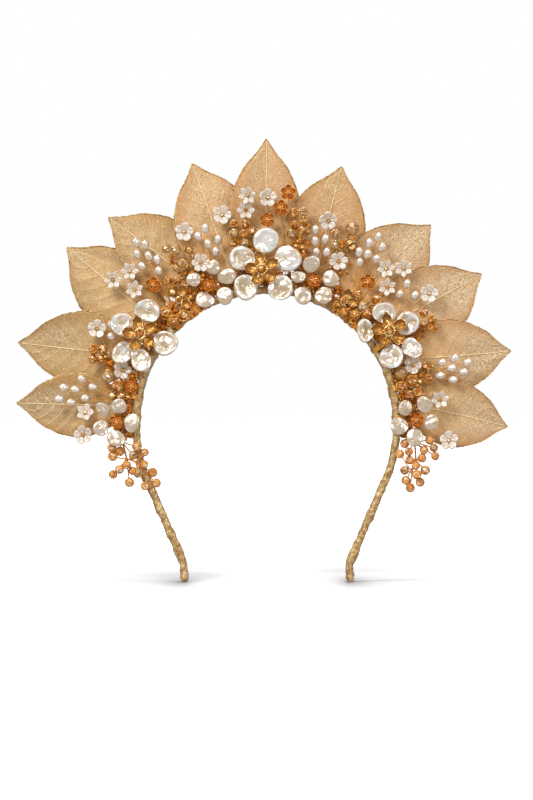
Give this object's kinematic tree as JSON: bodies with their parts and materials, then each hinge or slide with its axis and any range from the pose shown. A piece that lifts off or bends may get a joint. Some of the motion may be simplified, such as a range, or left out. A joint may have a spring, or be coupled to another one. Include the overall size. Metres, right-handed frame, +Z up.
{
  "type": "bridal crown",
  "caption": "Bridal crown: a halo of gilded skeleton leaves, baroque pearl flowers, shell flowers and amber stones wired on to a slim tape-wound band that stands on its two tips.",
  "frame": {"origin": "on the ground, under the middle of the crown's outline", "axes": "+Z up from the tips to the top leaf, -Y towards the front with the flowers, +X to the right of someone who looks at the front"},
  "size_m": [0.248, 0.0234, 0.222],
  "materials": {
    "gilt_tape": "satin",
    "gilt_leaf": "satin",
    "baroque_pearl": "gloss",
    "blush_pearl": "gloss",
    "antique_gold": "polished",
    "copper_bead": "polished",
    "carved_shell": "satin",
    "rice_pearl": "gloss",
    "amber_stone": "polished",
    "champagne_drop": "polished",
    "craft_wire": "polished"
  },
  "bodies": {
    "root": {"band": "gilt_tape", "tip_left": "gilt_tape", "tip_right": "gilt_tape", "leaf_centre": "gilt_leaf", "leaf_left_1": "gilt_leaf", "leaf_left_2": "gilt_leaf", "leaf_left_3": "gilt_leaf", "leaf_left_4": "gilt_leaf", "leaf_left_5": "gilt_leaf", "leaf_right_1": "gilt_leaf", "leaf_right_2": "gilt_leaf", "leaf_right_3": "gilt_leaf", "leaf_right_4": "gilt_leaf", "leaf_right_5": "gilt_leaf", "centre_petal_1": "baroque_pearl", "centre_petal_2": "baroque_pearl", "centre_petal_3": "baroque_pearl", "centre_petal_4": "baroque_pearl", "centre_petal_5": "baroque_pearl", "left_petal_1": "baroque_pearl", "left_petal_2": "baroque_pearl", "left_petal_3": "baroque_pearl", "left_petal_4": "baroque_pearl", "left_petal_5": "baroque_pearl", "right_petal_1": "baroque_pearl", "right_petal_2": "baroque_pearl", "right_petal_3": "baroque_pearl", "right_petal_4": "baroque_pearl", "right_petal_5": "baroque_pearl", "centre_heart": "antique_gold", "left_heart": "antique_gold", "right_heart": "antique_gold", "small_flower_left_top": "blush_pearl", "small_flower_right_top": "blush_pearl", "small_flower_left_low": "blush_pearl", "small_flower_right_low": "blush_pearl", "small_heart_left_top": "copper_bead", "small_heart_right_top": "copper_bead", "small_heart_left_low": "copper_bead", "small_heart_right_low": "copper_bead", "shell_flowers_left": "carved_shell", "shell_flowers_centre": "carved_shell", "shell_flowers_right": "carved_shell", "rice_pearls_left": "rice_pearl", "rice_pearls_right": "rice_pearl", "rice_pearls_left_low": "rice_pearl", "rice_pearls_right_low": "rice_pearl", "bead_flowers": "copper_bead", "stones_centre": "amber_stone", "stones_left": "amber_stone", "stones_right": "amber_stone", "stones_left_low": "amber_stone", "stones_right_low": "amber_stone", "drops_left": "champagne_drop", "drops_right": "champagne_drop", "stems_left": "craft_wire", "stems_centre": "craft_wire", "stems_right": "craft_wire", "stems_left_low": "craft_wire", "stems_right_low": "craft_wire"}
  },
  "joints": []
}
